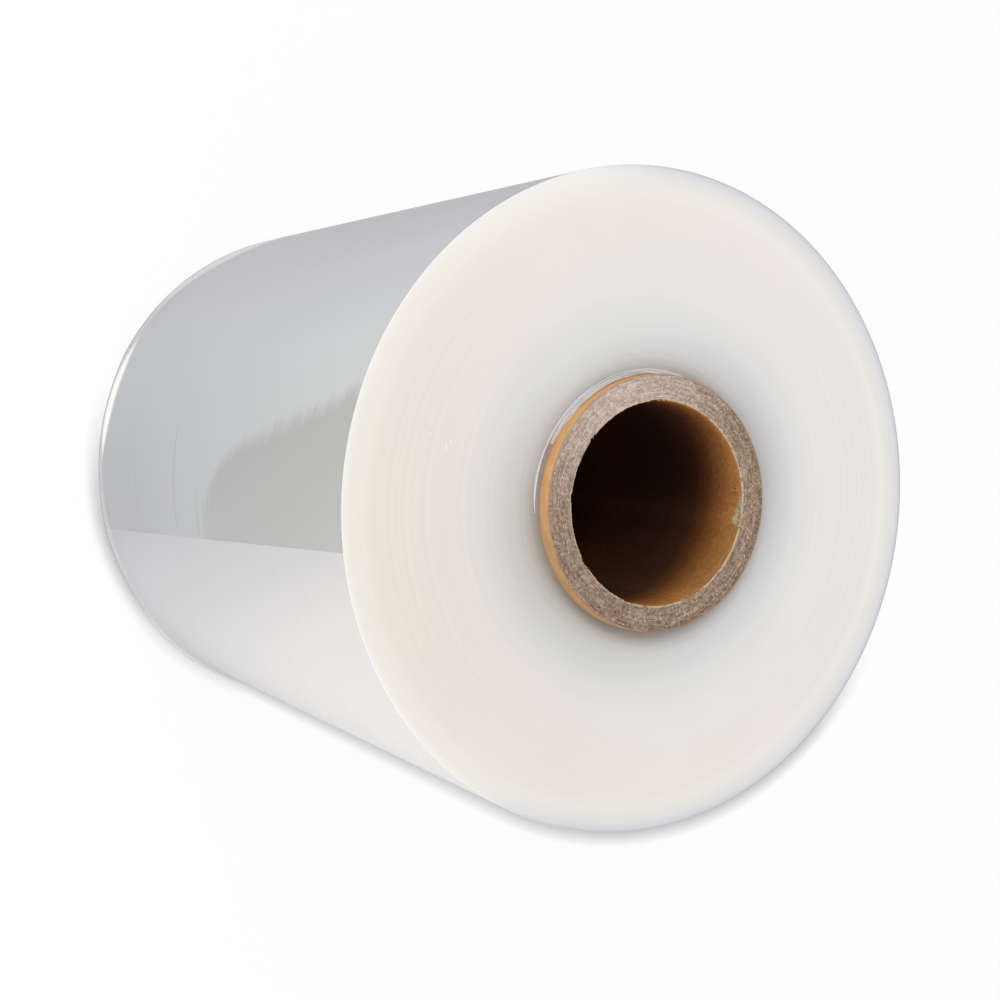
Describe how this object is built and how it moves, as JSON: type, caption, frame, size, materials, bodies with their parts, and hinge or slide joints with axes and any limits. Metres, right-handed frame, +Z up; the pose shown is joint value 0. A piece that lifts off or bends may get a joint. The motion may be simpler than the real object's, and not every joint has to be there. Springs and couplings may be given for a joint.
{
  "type": "stretch wrap roll",
  "caption": "Roll of clear stretch film wound on a thick paperboard core that stands a little proud of the film at each end.",
  "frame": {"origin": "centre of the core's lower end, on the surface that the roll stands on", "axes": "+Z up along the roll's axis; X and Y are level"},
  "size_m": [0.2492, 0.249, 0.3268],
  "materials": {
    "film": "clear cling film, glossy round the side and satin at the wound faces",
    "core": "kraft paper inside and out, grey-brown cut plies at the ends"
  },
  "bodies": {
    "root": {"cardboard_core": "core", "film_roll": "film"}
  },
  "joints": []
}
